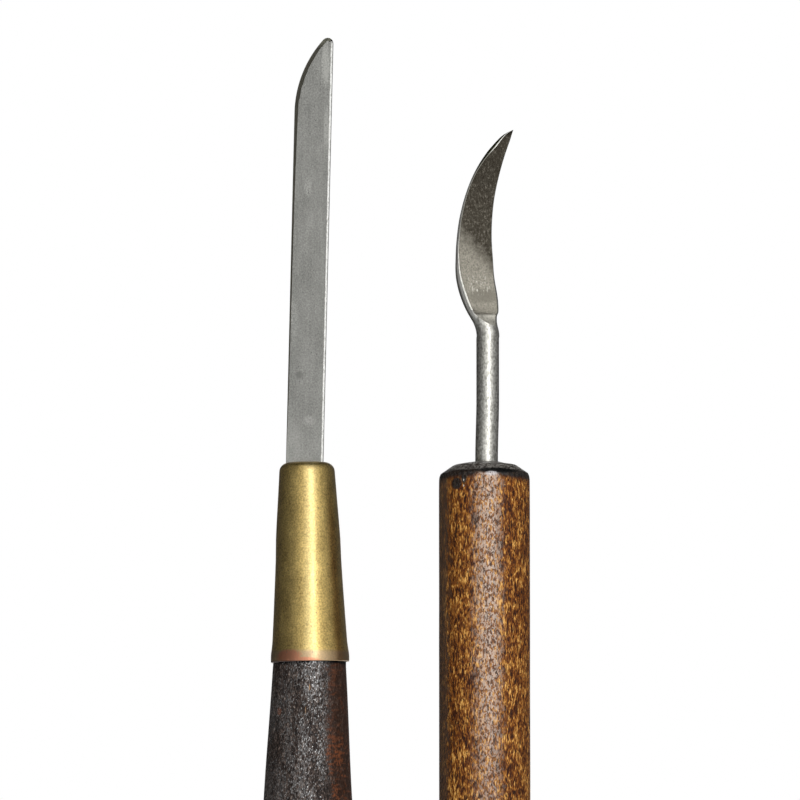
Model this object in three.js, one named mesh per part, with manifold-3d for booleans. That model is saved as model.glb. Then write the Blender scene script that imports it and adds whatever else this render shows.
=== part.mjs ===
// Two hand tools for cleaning up clay ware: a straight fettling knife in a brass ferrule, and a
// small curved blade ground on the end of a round rod. Both handles are turned from the same
// wooden dowel, and nothing on either tool moves.
//
// Millimetres, +Z up along the tools. They stand side by side on their butt ends, and the origin
// is on that surface, midway between the two handles. The flats of the blades look along -Y.

import * as THREE from "three";
import { mergeVertices, toCreasedNormals } from "three/addons/utils/BufferGeometryUtils.js";
import Module from "manifold-3d";

const wasm = await Module();
wasm.setup();

// Both tools
const DOWEL_DIAMETER = 12.7; // half-inch dowel
const HANDLE_SPACING = 24.52; // between the handles' axes
const BUTT_ROUND = 1.2; // radius round the butt end

// Knife handle: straight dowel, then one long taper that ends in a nose inside the ferrule
const KNIFE_HANDLE_LENGTH = 126.2;
const TAPER_LENGTH = 49.4;
const TAPER_BLEND = 2.5; // half the length of the soft turn from dowel into taper
const NOSE_DIAMETER = 7.0;
const NOSE_ROUND = 0.8;
const KERF_CLEARANCE = 0.1; // between the sawn kerf and each flat of the tang

// Ferrule: a cap drawn from thin sheet, with a slot in its closed end and a flared rim
const FERRULE_LENGTH = 27.8;
const FERRULE_WALL = 0.28;
const FERRULE_CORNER = 1.15; // outside radius round the closed end
const FERRULE_FIT = 0.05; // between the wood and the brass, on the radius
const NOSE_GAP = 0.35; // between the nose and the closed end
const RIM_HEIGHT = 2.6;
const RIM_FLARE = 0.13;
const SLOT_CLEARANCE = 0.2; // round the blade where it leaves the ferrule

// Knife blade: a steel strip. One edge is ground thin from both flats, more and more towards the
// tip and round it, and the other is left as a thick spine with small chamfers.
const BLADE_LENGTH = 59.72; // out of the ferrule
const BLADE_WIDTH = 5.22;
const BLADE_THICKNESS = 1.0;
const EDGE_WIDTH = 0.52; // of the ground edge at the tip, seen on the flat
const EDGE_LAND = 0.12; // thickness left there along the edge
const EDGE_START = 2; // height where the grinding begins
const EDGE_BREAK = 0.04; // width of the broken edge below that
const SPINE_CHAMFER = 0.24; // width, seen on the flat
const SPINE_CHAMFER_DEPTH = 0.09;
const TIP_CHAMFER_SHARE = 1 / 3; // of the strip's width, the most that the chamfer takes at the tip
const TIP_GROUND_SHARE = 0.8; // and the most that the ground edge takes of what the chamfer leaves
const TIP_ARC_RADIUS = 15.9; // the edge curves over to the point
const TIP_CORNER_RADIUS = 0.8;
const TANG_LENGTH = 24; // inside the ferrule
const TANG_CLIP = 1.4; // clipped corners at the tang's end
const TANG_GAP = 0.3; // between the tang's end and the foot of the kerf
const BLADE_OFFSET = -0.5; // the strip leaves the ferrule a little off its axis
const BLADE_LEAN = THREE.MathUtils.degToRad(1.3); // and leans back across it

// Hook handle: straight dowel with a crowned end
const HOOK_HANDLE_LENGTH = 127;
const CROWN_DIAMETER = 8.6; // where the crown breaks into its chamfer
const CROWN_RISE = 0.48;
const CROWN_CHAMFER = 1.15; // height of the chamfer below the crown
const SHOULDER_HEIGHT = 1.1; // height of the rounded shoulder below the chamfer
const SHOULDER_INSET = 0.38; // how far inside the dowel the chamfer stops

// Hook: eighth-inch rod, drawn out flat into a curved blade. Heights are above the shank, and
// offsets are from the rod's axis.
const ROD_DIAMETER = 3.175;
const ROD_OFFSET = 0.48; // the rod stands a little off the handle's axis
const ROD_CHAMFER = 0.5;
const ROD_INSERT = 30; // length inside the handle
const HOLE_CLEARANCE = 0.08; // between the rod and its hole, on the radius
const HOLE_GAP = 0.5; // between the rod's end and the foot of the hole
const SHANK_LENGTH = 18.1; // from the handle to the foot of the blade
const HOOK_LENGTH = 28.45; // from there to the point
const HOOK_REACH = 3.75; // the point's offset, on the hollow side
const BELLY = 4.57; // the back's widest offset, on the other side
const BELLY_HEIGHT = 9.45;
const NECK_FILLET = 4.85; // radius where the back leaves the rod
const NECK_ARC_RADIUS = 14.3; // and then swells to the belly
const BACK_BEND = 10.55; // across the ellipse that the back follows from belly to point
const NICK_DEPTH = 0.36; // the wheel nips the hollow side just above the shank
const NICK_HEIGHT = 2;
const SHOULDER_OFFSET = 1.44; // the hollow side's swelling above the nick
const SHOULDER_RISE = 3;
const WAIST = 0.54; // the hollow side's least offset
const WAIST_HEIGHT = 13.5;
const WAIST_TURN = 0.32; // share of the way up to it by which the edge has drawn in
const FLATTENED_BY = 5.2; // height by which the round rod has turned flat
const NECK_THICKNESS = 2.3; // there, as forged
const POINT_THICKNESS = 0.6;

// The front of the hook is ground a little hollow on a large wheel, whose edge runs out of the
// neck in a small curve that slants down to the hollow side.
const FACE_DEPTH = 0.12; // in front of the rod's axis, where the hollow is deepest
const FACE_DEEPEST = 20; // height of that place
const FACE_WHEEL_RADIUS = 230;
const FACE_FOOT = 2.7; // height where the run-out begins
const WHEEL_EDGE_RADIUS = 2.2;
const FACE_TILT = THREE.MathUtils.degToRad(3.5); // ground deeper on the hollow side
const FACE_SLANT = THREE.MathUtils.degToRad(22);

// How finely round forms are divided
const ROUND_SIDES = 72;
const HOLE_SIDES = 36;
const ARC_STEPS = 3;
const HOOK_SIDES = 28;
const HOOK_STATIONS = 40;
const TIP_STATIONS = 24;
const CORNER_STATIONS = 8;
const CORNER_TURN = THREE.MathUtils.degToRad(88); // leaves a speck of a flat on top
const FLAT_SQUARENESS = 2.3; // power of the flattened section, where 2 is an ellipse
const CREASE = THREE.MathUtils.degToRad(25);

const dowelRadius = DOWEL_DIAMETER / 2;
const rodRadius = ROD_DIAMETER / 2;

// A profile of (radius, height) turned round the Z axis.
function revolve(profile, sides = ROUND_SIDES) {
  return new THREE.LatheGeometry(profile.getPoints(ARC_STEPS), sides).rotateX(Math.PI / 2);
}

// A closed skin over rings that run anticlockwise and climb, each with as many points, with flat ends.
function loft(rings) {
  const count = rings[0].length;
  const top = (rings.length - 1) * count;
  const faces = [];
  for (let ring = 0; ring < top; ring += count) {
    for (let side = 0; side < count; side++) {
      const here = ring + side;
      const next = ring + ((side + 1) % count);
      faces.push(here, next, next + count, here, next + count, here + count);
    }
  }
  for (let side = 1; side + 1 < count; side++) {
    faces.push(0, side + 1, side);
    faces.push(top, top + side, top + side + 1);
  }
  return new THREE.BufferGeometry().setFromPoints(rings.flat()).setIndex(faces);
}

// A box between two corners.
function block(low, high) {
  return new THREE.BoxGeometry(...high.map((value, axis) => value - low[axis])).translate(
    ...high.map((value, axis) => (value + low[axis]) / 2),
  );
}

// A closed geometry as a solid that can be cut and joined.
function solid(geometry) {
  const skin = new THREE.BufferGeometry().setAttribute("position", geometry.getAttribute("position"));
  const merged = mergeVertices(skin.setIndex(geometry.index));
  return new wasm.Manifold(
    new wasm.Mesh({
      numProp: 3,
      vertProperties: merged.getAttribute("position").array,
      triVerts: new Uint32Array(merged.index.array),
    }),
  );
}

// A solid back as a geometry, with smooth round faces and crisp edges.
function skin(made) {
  const { vertProperties, triVerts } = made.getMesh();
  const geometry = new THREE.BufferGeometry()
    .setAttribute("position", new THREE.BufferAttribute(vertProperties, 3))
    .setIndex(new THREE.BufferAttribute(triVerts, 1));
  return toCreasedNormals(geometry, CREASE);
}

function part(name, geometry, material) {
  const mesh = new THREE.Mesh(geometry, material);
  mesh.name = name;
  return mesh;
}

// The butt of either handle, from the axis out to the dowel's side.
function buttProfile() {
  return new THREE.Path()
    .moveTo(0, 0)
    .lineTo(dowelRadius - BUTT_ROUND, 0)
    .absarc(dowelRadius - BUTT_ROUND, BUTT_ROUND, BUTT_ROUND, -Math.PI / 2, 0);
}

// The knife handle's taper, which the ferrule follows on its inside.
const taperStart = KNIFE_HANDLE_LENGTH - TAPER_LENGTH;
const taperSlope = (dowelRadius - NOSE_DIAMETER / 2) / TAPER_LENGTH;
const taperRadius = (height) => dowelRadius - (height - taperStart) * taperSlope;

const ferruleTop = KNIFE_HANDLE_LENGTH + NOSE_GAP + FERRULE_WALL;
const ferruleFoot = ferruleTop - FERRULE_LENGTH;

function knifeHandle() {
  const noseShoulder = KNIFE_HANDLE_LENGTH - NOSE_ROUND;
  const turned = buttProfile()
    .lineTo(dowelRadius, taperStart - TAPER_BLEND)
    .quadraticCurveTo(
      dowelRadius,
      taperStart,
      taperRadius(taperStart + TAPER_BLEND),
      taperStart + TAPER_BLEND,
    )
    .lineTo(taperRadius(noseShoulder), noseShoulder)
    .absarc(taperRadius(noseShoulder) - NOSE_ROUND, noseShoulder, NOSE_ROUND, 0, Math.PI / 2)
    .lineTo(0, KNIFE_HANDLE_LENGTH);
  const kerfHalf = BLADE_THICKNESS / 2 + KERF_CLEARANCE;
  const kerf = block(
    [-DOWEL_DIAMETER, -kerfHalf, ferruleTop - TANG_LENGTH - TANG_GAP],
    [DOWEL_DIAMETER, kerfHalf, KNIFE_HANDLE_LENGTH + NOSE_GAP],
  );
  return skin(solid(revolve(turned)).subtract(solid(kerf)));
}

function ferrule() {
  const inner = (height) => taperRadius(height) + FERRULE_FIT;
  const outer = (height) => inner(height) + FERRULE_WALL;
  const innerCorner = FERRULE_CORNER - FERRULE_WALL;
  const cornerHeight = ferruleTop - FERRULE_CORNER;
  const flareTop = ferruleFoot + RIM_HEIGHT;
  const lip = ferruleFoot + FERRULE_WALL / 2;
  const flareMiddle = (flareTop + lip) / 2;
  const lipRadius = inner(ferruleFoot) + RIM_FLARE + FERRULE_WALL / 2;
  const drawn = new THREE.Path()
    .moveTo(0, ferruleTop - FERRULE_WALL)
    .lineTo(inner(cornerHeight) - innerCorner, ferruleTop - FERRULE_WALL)
    .absarc(inner(cornerHeight) - innerCorner, cornerHeight, innerCorner, Math.PI / 2, 0, true)
    .lineTo(inner(flareTop), flareTop)
    .bezierCurveTo(
      inner(flareMiddle),
      flareMiddle,
      lipRadius - FERRULE_WALL / 2,
      flareMiddle,
      lipRadius - FERRULE_WALL / 2,
      lip,
    )
    .absarc(lipRadius, lip, FERRULE_WALL / 2, Math.PI, 2 * Math.PI)
    .bezierCurveTo(
      lipRadius + FERRULE_WALL / 2,
      flareMiddle,
      outer(flareMiddle),
      flareMiddle,
      outer(flareTop),
      flareTop,
    )
    .lineTo(outer(cornerHeight), cornerHeight)
    .absarc(outer(cornerHeight) - FERRULE_CORNER, cornerHeight, FERRULE_CORNER, 0, Math.PI / 2)
    .lineTo(0, ferruleTop);
  const slotHalfWidth = BLADE_WIDTH / 2 + SLOT_CLEARANCE;
  const slotHalfDepth = BLADE_THICKNESS / 2 + SLOT_CLEARANCE;
  const slot = block(
    [BLADE_OFFSET - slotHalfWidth, -slotHalfDepth, cornerHeight - FERRULE_WALL],
    [BLADE_OFFSET + slotHalfWidth, slotHalfDepth, ferruleTop + FERRULE_WALL],
  );
  return skin(solid(revolve(drawn)).subtract(solid(slot)));
}

// The strip in its own frame: Z = 0 where it leaves the ferrule. Its ground edge, on the left,
// bends in one arc into the tip's corner, which is rounded off after the grinding.
function knifeBlade() {
  const half = BLADE_WIDTH / 2;
  const cornerX = half - TIP_CORNER_RADIUS;
  const cornerHeight = BLADE_LENGTH - TIP_CORNER_RADIUS;
  const arcX = TIP_ARC_RADIUS - half;
  const arcRise = Math.sqrt((TIP_ARC_RADIUS - TIP_CORNER_RADIUS) ** 2 - (arcX - cornerX) ** 2);
  const arcHeight = cornerHeight - arcRise;
  const meetingHeight = arcHeight + (TIP_ARC_RADIUS * arcRise) / (TIP_ARC_RADIUS - TIP_CORNER_RADIUS);
  const leg = (radius, rise) => Math.sqrt(radius ** 2 - rise ** 2);

  const clipped = (height) => Math.min(half, half - TANG_CLIP + TANG_LENGTH + height);
  const left = (height) => {
    if (height > meetingHeight) return cornerX - leg(TIP_CORNER_RADIUS, height - cornerHeight);
    if (height > arcHeight) return arcX - leg(TIP_ARC_RADIUS, height - arcHeight);
    return -clipped(height);
  };
  const right = (height) => {
    if (height > cornerHeight) return cornerX + leg(TIP_CORNER_RADIUS, height - cornerHeight);
    return clipped(height);
  };

  const groundShare = (height) => Math.max(0, (height - EDGE_START) / (BLADE_LENGTH - EDGE_START));
  const groundWidth = (height) => THREE.MathUtils.lerp(EDGE_BREAK, EDGE_WIDTH, groundShare(height));
  const slope = (BLADE_THICKNESS - EDGE_LAND) / 2 / EDGE_WIDTH;
  const fromEdge = (x, height) => {
    if (height > arcHeight) return TIP_ARC_RADIUS - Math.hypot(x - arcX, height - arcHeight);
    return x - left(height);
  };
  const groundEnd = (height) => {
    const width = groundWidth(height);
    if (height > arcHeight) return arcX - leg(TIP_ARC_RADIUS - width, height - arcHeight);
    return left(height) + width;
  };
  const halfThickness = (x, height) =>
    BLADE_THICKNESS / 2 - slope * Math.max(0, groundWidth(height) - fromEdge(x, height));

  const ring = (height) => {
    const edge = left(height);
    const spine = right(height);
    const chamferShare = Math.min(1, ((spine - edge) * TIP_CHAMFER_SHARE) / SPINE_CHAMFER);
    const chamferStart = spine - SPINE_CHAMFER * chamferShare;
    const groundMost = THREE.MathUtils.lerp(edge, chamferStart, TIP_GROUND_SHARE);
    const flatStart = Math.min(groundEnd(height), groundMost);
    const section = [chamferStart, flatStart, edge].map((x) => [x, halfThickness(x, height)]);
    const spineHalf = halfThickness(spine, height) - SPINE_CHAMFER_DEPTH * chamferShare;
    section.unshift([spine, spineHalf]);
    return [
      ...section.map(([x, y]) => new THREE.Vector3(x, y, height)),
      ...section.reverse().map(([x, y]) => new THREE.Vector3(x, -y, height)),
    ];
  };

  const heights = [-TANG_LENGTH, TANG_CLIP - TANG_LENGTH, EDGE_START, arcHeight];
  const arcTurn = Math.asin(arcRise / TIP_ARC_RADIUS);
  for (let station = 1; station <= TIP_STATIONS; station++) {
    heights.push(arcHeight + TIP_ARC_RADIUS * Math.sin((arcTurn * station) / TIP_STATIONS));
  }
  for (let station = 1; station <= CORNER_STATIONS; station++) {
    heights.push(cornerHeight + TIP_CORNER_RADIUS * Math.sin((CORNER_TURN * station) / CORNER_STATIONS));
  }
  return skin(solid(loft(heights.map(ring))));
}

function hookHandle() {
  const crownFoot = HOOK_HANDLE_LENGTH - CROWN_RISE;
  const chamferFoot = crownFoot - CROWN_CHAMFER;
  const crownRadius = CROWN_DIAMETER / 2;
  const turned = buttProfile()
    .lineTo(dowelRadius, chamferFoot - SHOULDER_HEIGHT)
    .quadraticCurveTo(
      dowelRadius,
      chamferFoot - SHOULDER_INSET / 2,
      dowelRadius - SHOULDER_INSET,
      chamferFoot,
    )
    .lineTo(crownRadius, crownFoot)
    .quadraticCurveTo(crownRadius - CROWN_RISE * 2, HOOK_HANDLE_LENGTH, 0, HOOK_HANDLE_LENGTH);
  const depth = ROD_INSERT + HOLE_GAP;
  const hole = new THREE.CylinderGeometry(
    rodRadius + HOLE_CLEARANCE,
    rodRadius + HOLE_CLEARANCE,
    2 * depth,
    HOLE_SIDES,
  )
    .rotateX(Math.PI / 2)
    .translate(ROD_OFFSET, 0, HOOK_HANDLE_LENGTH);
  return skin(solid(revolve(turned)).subtract(solid(hole)));
}

// Where a path that climbs all the way crosses a height.
function acrossAt(path, height) {
  let low = 0;
  let high = 1;
  while (high - low > 1e-6) {
    const middle = (low + high) / 2;
    if (path.getPoint(middle).y < height) low = middle;
    else high = middle;
  }
  return path.getPoint(low).x;
}

// An S-shaped stretch that leaves the last point straight up and arrives straight up, turning
// where it has risen by the given share of its height.
function swerve(path, x, height, share = 0.5) {
  const { x: startX, y: startHeight } = path.currentPoint;
  const turnHeight = THREE.MathUtils.lerp(startHeight, height, share);
  return path.bezierCurveTo(startX, turnHeight, x, turnHeight, x, height);
}

// The hook's two edges in X and height. The back leaves the rod in a fillet, swells in an arc to
// the belly and follows a quarter of an ellipse to the point. The hollow side runs from the nick
// over a low shoulder to the waist and bends in one arc to the point.
function hookEdges() {
  const arcX = NECK_ARC_RADIUS - BELLY;
  const filletX = -rodRadius - NECK_FILLET;
  const apart = NECK_ARC_RADIUS + NECK_FILLET;
  const foot = BELLY_HEIGHT - Math.sqrt(apart ** 2 - (arcX - filletX) ** 2);
  const turn = Math.acos((arcX - filletX) / apart);

  const bendRise = HOOK_LENGTH - BELLY_HEIGHT;
  const bendTurn = Math.acos((BACK_BEND - BELLY - HOOK_REACH) / BACK_BEND);
  const bendHeight = bendRise / Math.sin(bendTurn);
  const back = new THREE.Path()
    .moveTo(-rodRadius, foot)
    .absarc(filletX, foot, NECK_FILLET, 0, turn)
    .absarc(arcX, BELLY_HEIGHT, NECK_ARC_RADIUS, Math.PI + turn, Math.PI, true)
    .absellipse(
      BACK_BEND - BELLY,
      BELLY_HEIGHT,
      BACK_BEND,
      bendHeight,
      Math.PI,
      Math.PI - bendTurn,
      true,
    );

  const hollowRise = HOOK_LENGTH - WAIST_HEIGHT;
  const hollowReach = HOOK_REACH - WAIST;
  const hollowRadius = (hollowRise ** 2 + hollowReach ** 2) / (2 * hollowReach);
  const hollowTurn = Math.asin(hollowRise / hollowRadius);
  const hollow = new THREE.Path().moveTo(rodRadius, foot);
  swerve(hollow, rodRadius - NICK_DEPTH, NICK_HEIGHT);
  swerve(hollow, SHOULDER_OFFSET, SHOULDER_RISE);
  swerve(hollow, WAIST, WAIST_HEIGHT, WAIST_TURN);
  hollow.absarc(WAIST + hollowRadius, WAIST_HEIGHT, hollowRadius, Math.PI, Math.PI - hollowTurn, true);
  return { back, hollow, foot };
}

// One ring of the hook: round on the rod, and squarer as it flattens.
function hookRing(left, right, halfThickness, squareness, height) {
  const power = 2 / squareness;
  const bulge = (value) => Math.sign(value) * Math.abs(value) ** power;
  return Array.from({ length: HOOK_SIDES }, (_, side) => {
    const turn = (2 * Math.PI * side) / HOOK_SIDES;
    return new THREE.Vector3(
      (left + right) / 2 + ((right - left) / 2) * bulge(Math.cos(turn)),
      halfThickness * bulge(Math.sin(turn)),
      height,
    );
  });
}

// The rod and its forged end in one skin. The blade thins quickly at first, then slowly.
function forgedHook() {
  const { back, hollow, foot } = hookEdges();
  const rodEnd = -SHANK_LENGTH - ROD_INSERT;
  const endRadius = rodRadius - ROD_CHAMFER;
  const rings = [
    hookRing(-endRadius, endRadius, endRadius, 2, rodEnd),
    hookRing(-rodRadius, rodRadius, rodRadius, 2, rodEnd + ROD_CHAMFER),
    hookRing(-rodRadius, rodRadius, rodRadius, 2, foot),
  ];
  for (let station = 1; station < HOOK_STATIONS; station++) {
    const along = (1 - Math.cos((Math.PI * station) / HOOK_STATIONS)) / 2;
    const height = THREE.MathUtils.lerp(foot, HOOK_LENGTH, along);
    const flattened = THREE.MathUtils.smoothstep(height, foot, FLATTENED_BY);
    const drawnOut = Math.max(0, (height - FLATTENED_BY) / (HOOK_LENGTH - FLATTENED_BY));
    const forged = THREE.MathUtils.lerp(NECK_THICKNESS, POINT_THICKNESS, Math.sqrt(drawnOut)) / 2;
    const half = THREE.MathUtils.lerp(rodRadius, forged, flattened);
    const squareness = THREE.MathUtils.lerp(2, FLAT_SQUARENESS, flattened);
    rings.push(hookRing(acrossAt(back, height), acrossAt(hollow, height), half, squareness, height));
  }
  return loft(rings);
}

// What the grinding takes away: all that lies in front of the hollow face and above its run-out.
// The section is drawn with depth towards -X, swept across and then slanted.
function groundAway() {
  const clear = ROD_DIAMETER * 2;
  const top = HOOK_LENGTH + clear;
  const footTurn = Math.asin((FACE_DEEPEST - FACE_FOOT) / FACE_WHEEL_RADIUS);
  const wheelX = -FACE_DEPTH - FACE_WHEEL_RADIUS;
  const edgeOffset = FACE_WHEEL_RADIUS - WHEEL_EDGE_RADIUS;
  const edgeX = wheelX + edgeOffset * Math.cos(footTurn);
  const edgeHeight = FACE_DEEPEST - edgeOffset * Math.sin(footTurn);
  const section = new THREE.Shape()
    .moveTo(-clear, top)
    .lineTo(-clear, edgeHeight - WHEEL_EDGE_RADIUS)
    .lineTo(edgeX, edgeHeight - WHEEL_EDGE_RADIUS)
    .absarc(edgeX, edgeHeight, WHEEL_EDGE_RADIUS, -Math.PI / 2, -footTurn)
    .absarc(wheelX, FACE_DEEPEST, FACE_WHEEL_RADIUS, -footTurn, 0)
    .lineTo(-FACE_DEPTH, top);
  const width = 4 * BELLY;
  const slant = new THREE.Matrix4().makeShear(0, -Math.tan(FACE_SLANT), 0, 0, 0, 0);
  return new THREE.ExtrudeGeometry(section, { depth: width, bevelEnabled: false, curveSegments: 16 })
    .translate(0, 0, -width / 2)
    .rotateX(Math.PI / 2)
    .rotateZ(Math.PI / 2)
    .applyMatrix4(slant)
    .rotateZ(FACE_TILT);
}

function hookBlade() {
  return skin(solid(forgedHook()).subtract(solid(groundAway())));
}

const stainedDark = new THREE.MeshStandardMaterial({ color: 0x3b2f2a, roughness: 0.55 });
const stainedBrown = new THREE.MeshStandardMaterial({ color: 0x7a4f2a, roughness: 0.45 });
const brass = new THREE.MeshStandardMaterial({ color: 0xb5924c, roughness: 0.35, metalness: 1 });
const stripSteel = new THREE.MeshStandardMaterial({ color: 0x9a9a95, roughness: 0.4, metalness: 1 });
const rodSteel = new THREE.MeshStandardMaterial({ color: 0x8f8c83, roughness: 0.35, metalness: 1 });

const knife = new THREE.Group();
knife.position.x = -HANDLE_SPACING / 2;
const strip = part("knife_blade", knifeBlade(), stripSteel);
strip.position.set(BLADE_OFFSET, 0, ferruleTop);
strip.rotation.y = BLADE_LEAN;
knife.add(part("knife_handle", knifeHandle(), stainedDark), part("knife_ferrule", ferrule(), brass), strip);

const hook = new THREE.Group();
hook.position.x = HANDLE_SPACING / 2;
const rod = part("hook_blade", hookBlade(), rodSteel);
rod.position.set(ROD_OFFSET, 0, HOOK_HANDLE_LENGTH + SHANK_LENGTH);
hook.add(part("hook_handle", hookHandle(), stainedBrown), rod);

const tools = new THREE.Group();
tools.name = "clean_up_tools";
tools.add(knife, hook);

export default tools;
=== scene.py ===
"""Two hand tools for cleaning up clay ware, dressed over their measured parts.

The fettling knife is a satin steel strip in a drawn brass ferrule, on a tapered handle stained
nearly black. The hook is forged and ground on the end of a bright round rod, in a straight handle
stained a mottled brown. Metres, +Z up the tools, and the blades' flats look along -Y.
"""

import math

import bmesh
import bpy
import numpy as np
from mathutils import Matrix, Vector, noise
from mathutils.geometry import interpolate_bezier

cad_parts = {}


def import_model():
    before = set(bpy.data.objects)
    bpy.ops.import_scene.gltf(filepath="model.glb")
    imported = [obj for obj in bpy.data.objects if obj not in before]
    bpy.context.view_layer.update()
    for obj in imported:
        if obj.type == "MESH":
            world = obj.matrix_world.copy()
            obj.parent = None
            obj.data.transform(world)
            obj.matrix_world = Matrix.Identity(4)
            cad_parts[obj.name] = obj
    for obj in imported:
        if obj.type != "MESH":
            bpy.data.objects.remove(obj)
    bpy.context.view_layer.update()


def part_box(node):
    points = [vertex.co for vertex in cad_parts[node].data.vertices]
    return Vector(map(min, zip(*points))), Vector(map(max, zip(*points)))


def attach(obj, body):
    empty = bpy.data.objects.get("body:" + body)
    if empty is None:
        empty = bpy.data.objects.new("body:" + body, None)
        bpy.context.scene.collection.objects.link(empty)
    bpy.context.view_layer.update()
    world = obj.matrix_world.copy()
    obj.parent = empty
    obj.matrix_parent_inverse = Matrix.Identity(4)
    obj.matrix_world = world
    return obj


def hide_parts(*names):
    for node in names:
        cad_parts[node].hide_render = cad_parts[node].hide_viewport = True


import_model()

MM = 0.001
TOUCHING = 1e-6  # points nearer than this lie on each other, in metres
FAR = 1  # a side of a cutting box that lies well outside the part

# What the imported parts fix: the dowel, the two axes and the heights of the shoulders
knife_low, knife_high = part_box("knife_handle")
hook_low, hook_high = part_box("hook_handle")
ferrule_low, ferrule_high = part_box("knife_ferrule")
DOWEL = (knife_high.x - knife_low.x) / 2
KNIFE_X = (knife_low.x + knife_high.x) / 2
HOOK_X = (hook_low.x + hook_high.x) / 2
KNIFE_TOP = knife_high.z
CROWN_TOP = hook_high.z
FERRULE_TOP = ferrule_high.z
FERRULE_FOOT = ferrule_low.z

# Handles
BUTT_ROUND = 1.2 * MM
HANDLE_SIDES = 144
RING_GAP = 1.6 * MM  # at most, between the rings of what is turned
OUTLINE_GAP = 0.5 * MM  # and between the points of the strip's outline
WOOD_UNEVEN = 0.02 * MM
WOOD_WAVE = 9 * MM  # along the grain
TAPER_LENGTH = 49.4 * MM
TAPER_BLEND = 2.5 * MM
NOSE_RADIUS = 3.5 * MM
NOSE_ROUND = 0.8 * MM
KERF_HALF = 0.6 * MM
TANG_LENGTH = 24 * MM
TANG_GAP = 0.3 * MM

# Ferrule
SHEET = 0.28 * MM
FERRULE_FIT = 0.05 * MM
FERRULE_CORNER = 1.15 * MM
FLARE_HEIGHT = 2.5 * MM
FLARE = 0.13 * MM
LIP_HEIGHT = 0.9 * MM  # of the nearly straight stretch below the flare
LIP_FLARE = 0.02 * MM
FERRULE_SLANT = 0.010  # the ends aren't quite square to the sides
FOOT_SLANT = 0.020
FERRULE_WANDER = 0.0022  # share of the radius
LEAN_START = 80 * MM  # the taper wanders off its axis from here up
WOOD_LEAN = 0.2 * MM  # off the axis where the wood goes into the ferrule
LEAN_FOOT = 0.29 * MM  # and the ferrule's own lean at its foot and top
LEAN_TOP = -0.19 * MM
# The drawn sheet's swellings on the radius, by height above its foot
FERRULE_SWELLS = (
    (0, -0.09), (0.8, -0.02), (3, -0.02), (6, -0.04), (11, -0.035), (14.6, -0.01), (15.8, 0.04),
    (17, 0.085), (19, 0.08), (21, 0.06), (23, 0.034), (26, 0.01),
)
SLOT_CLEARANCE = 0.2 * MM

# Knife blade, in its own frame with Z = 0 where it leaves the ferrule
STRIP_WIDTH = 5.22 * MM
STRIP_THICKNESS = 1.0 * MM
STRIP_LENGTH = 59.7 * MM
STRIP_OFFSET = -0.5 * MM
STRIP_LEAN = math.radians(1.3)
TIP_ARC = 15.9 * MM
TIP_CORNER = 0.8 * MM
TANG_CLIP = 1.4 * MM
SPINE_ROUND = 0.09 * MM
EDGE_ROUND = 0.03 * MM
SPINE_CHAMFER = 0.24 * MM
SPINE_CHAMFER_DEPTH = 0.09 * MM
EDGE_SLOPE = 0.85  # depth of the ground edge for its width
BURIED_GRIND = 0.08  # share of the grinding that goes on inside the ferrule
RAGGED = 0.16  # how far hand grinding varies these widths
# The ground edge's width in millimetres, by height
EDGE_WIDTHS = (
    (-2, 0.02), (3.2, 0.04), (8.8, 0.14), (22.8, 0.21), (36.8, 0.28), (46, 0.42), (52, 0.54),
    (60, 0.5),
)

# Crown of the hook's handle
CROWN_RADIUS = 4.3 * MM
CROWN_RISE = 0.48 * MM
CROWN_CHAMFER = 1.15 * MM
SHOULDER_HEIGHT = 1.1 * MM
SHOULDER_INSET = 0.38 * MM
SANDED = 0.006  # share of the radius sanded off under the shoulder
SHOULDER_LIFT = 0.035 * MM
SHOULDER_TILT = 0.065 * MM  # the shoulder stands higher on the right

# Hook: heights above the foot of the blade and offsets from the rod's axis, in millimetres
ROD = 3.175 / 2
ROD_CHAMFER = 0.5
ROD_INSERT = 30
ROD_OFFSET = 0.48
ROD_BEND = 0.17  # the shank leans back to the left as it goes down into the wood
ROD_BEND_HEIGHT = 9
SHANK_LENGTH = 18.1
ROD_END = -SHANK_LENGTH - ROD_INSERT
HOLE_CLEARANCE = 0.08
HOLE_GAP = 0.5
HOOK_LENGTH = 28.38
HOOK_REACH = 3.75
BELLY = 4.54
BELLY_HEIGHT = 9.45
NECK_FILLET = 4.85
NECK_ARC = 14.3
BACK_BEND = 10.55
NICK_DEPTH = 0.36
NICK_HEIGHT = 2
HOLLOW_SHOULDER = 1.47
SHOULDER_RISE = 3
WAIST = 0.57
WAIST_HEIGHT = 13.5
WAIST_TURN = 0.32
# Hammered and ground by hand: how far each edge stands to the right of those curves
BACK_STRAY = (
    (0, 0.05), (4.7, 0.03), (7.5, 0), (10.2, 0.06), (13, 0.04), (15.8, 0), (21.4, 0), (24.9, 0.03),
    (26.2, 0.01), (26.75, -0.05), (27.3, -0.16), (27.6, -0.26), (27.9, -0.27), (28.2, -0.2),
)
HOLLOW_STRAY = (
    (0, 0.05), (7.5, 0.05), (10.2, 0.11), (13, 0.01), (18.6, 0), (21.4, 0.05), (23, 0.06),
    (25.6, 0.05), (27, 0.02), (27.6, -0.05), (28.2, -0.13),
)
FLATTENED_BY = 5.2
NECK_HALF = 1.15
POINT_HALF = 0.3
SQUARENESS = 2.3
LEDGE = 0.035  # left where the main face begins above the run-out
LEDGE_HEIGHT = 0.05
NECK_FOOT = -1.8  # the rings begin to slant here
LEVEL_FROM = 7  # and are level again from here up
SLANT_REACH = (-2.3, 1.5)  # the offsets between which they slant
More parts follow.
